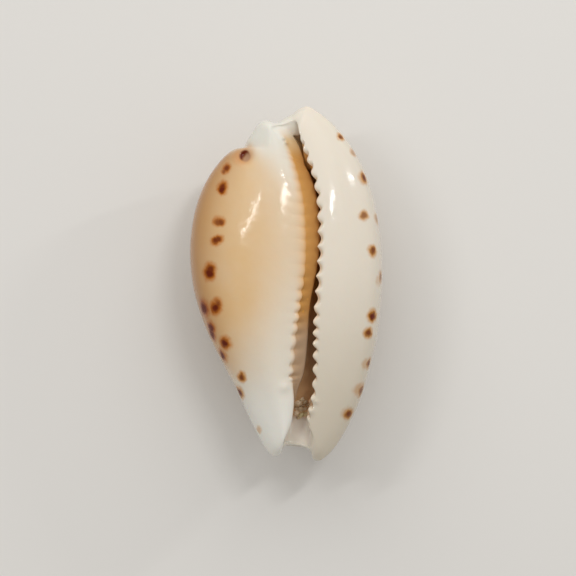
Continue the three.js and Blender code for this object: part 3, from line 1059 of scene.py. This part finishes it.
def add_grain(bm, tint, ground, place, radius, shade, draw):
    """One uneven grain, sunk a little into what lies under it."""
    start = Vector((place[0] * DRAWN_SCALE, place[1] * DRAWN_SCALE, 1.0))
    centre = ground.ray_cast(start, DOWN)[0]
    made = bmesh.ops.create_icosphere(bm, subdivisions=2, radius=radius)["verts"]
    stretch = Vector([draw.uniform(0.75, 1.2) for _ in range(3)])
    bmesh.ops.scale(bm, vec=stretch, verts=made)
    turn = Matrix.Rotation(draw.uniform(0.0, math.pi), 3, "Z")
    bmesh.ops.rotate(bm, cent=(0.0, 0.0, 0.0), matrix=turn, verts=made)
    for vertex in made:
        vertex.co *= 1.0 + 0.35 * noise.noise(vertex.co / radius * 1.3 + centre / MM)
        vertex[tint] = shade
    bmesh.ops.translate(bm, vec=centre + GRAIN_SINK * radius * DOWN, verts=made)


def sand_material(colours):
    material = bpy.data.materials.new("sand")
    material.use_nodes = True
    w = Wiring(material.node_tree)
    shader = material.node_tree.nodes["Principled BSDF"]
    mm = w.millimetres()
    tint = w.attribute("tint")
    speck = w.noise(mm, 9.0, 3.0, 0.65)["Fac"]
    grain = w.blend(w.ramp(tint, 0.0, 0.5), colours.dark, colours.light)
    grain = w.blend(w.ramp(tint, 0.6, 1.0), grain, colours.green)
    grain = w.blend(w.ramp(speck, 0.42, 0.68, 0.0, 0.5), grain, colours.dark)
    w.feed(shader.inputs["Base Color"], grain)
    w.feed(shader.inputs["Roughness"], w.ramp(speck, 0.3, 0.7, 0.5, 0.75))
    bump = w.add("ShaderNodeBump", {"Height": speck, "Strength": 0.8, "Distance": 0.03 * MM})
    w.feed(shader.inputs["Normal"], bump.outputs["Normal"])
    return material


# ---------------------------------------------------------------------------
# Add-on.
# ---------------------------------------------------------------------------


def colour_property(name, description, code):
    return FloatVectorProperty(
        name=name, description=description, default=colour(code), size=4,
        min=0.0, max=1.0, subtype="COLOR",
    )


class CowrieShape(PropertyGroup):
    """Sizes of the shell that a user would change."""

    tooth_depth: FloatProperty(
        name="Tooth depth", description="Depth of the folds between the teeth",
        default=0.37 * MM, min=0.0, max=0.5 * MM, unit="LENGTH", precision=5,
    )


class CowrieColours(PropertyGroup):
    """Colours of the enamel."""

    cream: colour_property("Cream", "Outer lip", "E4DBCC")
    # Partly the front lip's own greener tone, partly painted shade.
    shaded_lip_front: colour_property("Lip, front", "Outer lip towards the front end", "D3C9B7")
    pearl: colour_property("Pearl", "Inner side beside the teeth and at the ends", "E2DACB")
    tan: colour_property("Tan", "Inner side of the base", "DFBB8A")
    # The shell's own honey colour, darkened further as painted shade of the steep margin.
    honey: colour_property("Honey", "Inner margin", "AD773B")
    horn: colour_property("Horn", "Inner side of the front end", "EAE8DF")
    knob: colour_property("Knob", "Knob beside the sunken spire", "E2E0D6")
    # A painted glow of light through the thin rims of the teeth.
    edge: colour_property("Edge", "Thin warm edge of the teeth", "F2D2AC")
    # Also tints the folds between the teeth as painted shade.
    ledge: colour_property("Ledge", "Ledge inside the inner lip", "CE9A58")
    ledge_front: colour_property("Ledge, front", "Ledge towards the front end", "BFA284")
    canal: colour_property("Canal floor", "Floor of the front canal", "E6DDD0")
    canal_sand: colour_property("Spire canal", "Where the spire canal dips inside", "D2B285")
    # These two are painted far paler than the hollow's own brown, as painted light shining through
    # the shell.
    deep: colour_property("Deep inside", "Inside of the hollow", "EAAD52")
    deep_front: colour_property("Deep inside, front", "Hollow towards the front", "E2B98A")
    # Also paints the shade crescent over the sunken spire.
    spot: colour_property("Spots", "Middle of the brown spots", "641D00")
    stain: colour_property("Stain", "Rim of the brown spots", "E2A240")
    pit: colour_property("Pit", "Hollow of the sunken spire", "A27E66")
    back: colour_property("Back", "Ground colour of the back", "C9AE84")
    back_dark: colour_property("Back, clouded", "Darker clouds on the back", "A98658")


class CowrieGrit(PropertyGroup):
    """Sand that is caught in the front end of the opening."""

    # The grains are painted paler than the sand's own colours: painted light for grains that lie in
    # the shaded front of the opening.
    light: colour_property("Light grains", "Pale pinkish sand", "F0DCBC")
    dark: colour_property("Dark grains", "Brown sand and the dust between", "A88C60")
    green: colour_property("Green grains", "Greenish shell sand", "DCCF9E")
    size: FloatProperty(
        name="Grain size", description="Radius of a middling grain",
        default=0.21 * MM, min=0.02 * MM, max=0.5 * MM, unit="LENGTH", precision=5,
    )


class CowrieStage(PropertyGroup):
    """The floor and the lights."""

    floor: colour_property("Floor", "Plain floor under the shell", "E2E0DC")
    window_power: FloatProperty(
        name="Window light", description="Power of the light that draws the long streak",
        default=0.085, min=0.0, unit="POWER",
    )
    bar_power: FloatProperty(
        name="Bar light", description="Power of the thin light on the inner lip's side",
        default=0.055, min=0.0, unit="POWER",
    )
    glint_power: FloatProperty(
        name="Glint", description="Power of the small low light on the outer lip's side",
        default=0.05, min=0.0, unit="POWER",
    )
    tent_power: FloatProperty(
        name="Tent light", description="Power of the broad soft light past the spire end",
        default=1.05, min=0.0, unit="POWER",
    )
    sky: FloatProperty(
        name="Sky", description="Strength of the even light from all round",
        default=0.42, min=0.0, max=4.0,
    )


class COWRIE_OT_shell(Operator):
    """Model the shell with its teeth, its hollow and its enamel"""

    bl_idname = "cowrie.shell"
    bl_label = "Shell"

    def execute(self, context):
        settings = context.scene
        bm = build_shell_mesh(settings.cowrie_shape.tooth_depth / DRAWN_SCALE)
        place_in_frame(bm)
        material = porcelain_material(BVHTree.FromBMesh(bm), settings.cowrie_colours)
        shell = finish_mesh(bm, "porcelain_shell", material)
        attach(shell, "root")
        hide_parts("shell")
        return {"FINISHED"}


class COWRIE_OT_grit(Operator):
    """Scatter the grains of sand that stick in the front end of the opening"""

    bl_idname = "cowrie.grit"
    bl_label = "Grit"

    def execute(self, context):
        settings = context.scene.cowrie_grit
        shell = bpy.data.objects["porcelain_shell"]
        ground = BVHTree.FromObject(shell, context.evaluated_depsgraph_get())
        bm = bmesh.new()
        tint = bm.verts.layers.float.new("tint")
        draw = random.Random(GRIT_SEED)
        for x, y, size, shade in GRAINS:
            add_grain(bm, tint, ground, (x, y), size * settings.size, shade, draw)
        for _ in range(SMALL_GRAINS):
            x = draw.uniform(*SMALL_GRAINS_X)
            y = draw.uniform(*SMALL_GRAINS_Y)
            size = draw.uniform(*SMALL_GRAIN_SIZES) * settings.size
            add_grain(bm, tint, ground, (x, y), size, draw.choice((0.0, 0.5, 1.0)), draw)
        grit = finish_mesh(bm, "sand_grit", sand_material(settings))
        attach(grit, "root")
        return {"FINISHED"}


# Lamps: the way to each from the shell, how far off it stands, the two sides of its
# lit face, and the direction that the first side follows.
LAMPS = {
    "window": ((0.245, 0.298, 0.923), 0.25, (0.056, 0.011), (0.86, 0.50, -0.35)),
    "bar": ((-0.460, 0.226, 0.859), 0.25, (0.070, 0.006), (-0.78, -0.52, -0.34)),
    "glint": ((0.765, 0.455, 0.455), 0.25, (0.006, 0.034), (0.0, 1.0, 0.0)),
    "tent": ((-0.03, 0.74, 0.67), 0.42, (0.50, 0.60), (0.0, 1.0, 0.0)),
}
SKY_TINT = (1.0, 0.97, 0.93, 1.0)
FLOOR_HALF_SIDE = 1.5
CAMERA_PLACE = (0.000165, -0.00036, 0.264)
CAMERA_LENS, CAMERA_SENSOR = 200.0, 36.0
CAMERA_CLIP = (0.01, 5.0)


class COWRIE_OT_stage(Operator):
    """Set the floor, the lights and the camera"""

    bl_idname = "cowrie.stage"
    bl_label = "Stage"

    def execute(self, context):
        settings = context.scene.cowrie_stage
        self.add_floor(settings)
        for name, (direction, distance, size, along) in LAMPS.items():
            power = getattr(settings, name + "_power")
            self.add_light(name, direction, distance, size, Vector(along), power)
        self.add_camera(context)
        world = bpy.data.worlds.new("studio")
        world.use_nodes = True
        background = world.node_tree.nodes["Background"]
        background.inputs["Color"].default_value = SKY_TINT
        background.inputs["Strength"].default_value = settings.sky
        context.scene.world = world
        context.scene.view_settings.view_transform = "Standard"
        return {"FINISHED"}

    def add_floor(self, settings):
        bm = bmesh.new()
        bmesh.ops.create_grid(bm, x_segments=4, y_segments=4, size=FLOOR_HALF_SIDE)
        floor = finish_mesh(bm, "floor", floor_material(settings.floor))

    def add_light(self, name, direction, distance, size, along, power):
        """A lamp that faces the origin, with its first side as near to along as it can."""
        lamp = bpy.data.lights.new(name, "AREA")
        lamp.shape = "RECTANGLE"
        lamp.size, lamp.size_y = size
        lamp.energy = power
        back = Vector(direction).normalized()
        first = (along - along.dot(back) * back).normalized()
        turned = Matrix((first, back.cross(first), back)).transposed()
        light = bpy.data.objects.new(name, lamp)
        light.location = back * distance
        light.rotation_euler = turned.to_euler()
        bpy.context.scene.collection.objects.link(light)

    def add_camera(self, context):
        lens = bpy.data.cameras.new("camera")
        lens.lens = CAMERA_LENS
        lens.sensor_width = CAMERA_SENSOR
        lens.clip_start, lens.clip_end = CAMERA_CLIP
        camera = bpy.data.objects.new("camera", lens)
        camera.location = CAMERA_PLACE
        context.scene.collection.objects.link(camera)
        context.scene.camera = camera


class VIEW3D_PT_cowrie(Panel):
    """Lists the pieces and their settings"""

    bl_label = "Cowrie Shell"
    bl_space_type = "VIEW_3D"
    bl_region_type = "UI"
    bl_category = "Cowrie"

    def draw(self, context):
        layout = self.layout
        for name in ("cowrie_shape", "cowrie_colours", "cowrie_grit", "cowrie_stage"):
            settings = getattr(context.scene, name)
            box = layout.box()
            for prop in settings.__annotations__:
                box.prop(settings, prop)
        layout.operator(COWRIE_OT_shell.bl_idname)
        layout.operator(COWRIE_OT_grit.bl_idname)
        layout.operator(COWRIE_OT_stage.bl_idname)


CLASSES = (
    CowrieShape,
    CowrieColours,
    CowrieGrit,
    CowrieStage,
    COWRIE_OT_shell,
    COWRIE_OT_grit,
    COWRIE_OT_stage,
    VIEW3D_PT_cowrie,
)


def register():
    for item in CLASSES:
        bpy.utils.register_class(item)
    bpy.types.Scene.cowrie_shape = PointerProperty(type=CowrieShape)
    bpy.types.Scene.cowrie_colours = PointerProperty(type=CowrieColours)
    bpy.types.Scene.cowrie_grit = PointerProperty(type=CowrieGrit)
    bpy.types.Scene.cowrie_stage = PointerProperty(type=CowrieStage)


def unregister():
    del bpy.types.Scene.cowrie_stage
    del bpy.types.Scene.cowrie_grit
    del bpy.types.Scene.cowrie_colours
    del bpy.types.Scene.cowrie_shape
    for item in reversed(CLASSES):
        bpy.utils.unregister_class(item)


def main():
    register()
    bpy.ops.cowrie.shell()
    bpy.ops.cowrie.grit()
    bpy.ops.cowrie.stage()


if __name__ == "__main__":
    main()
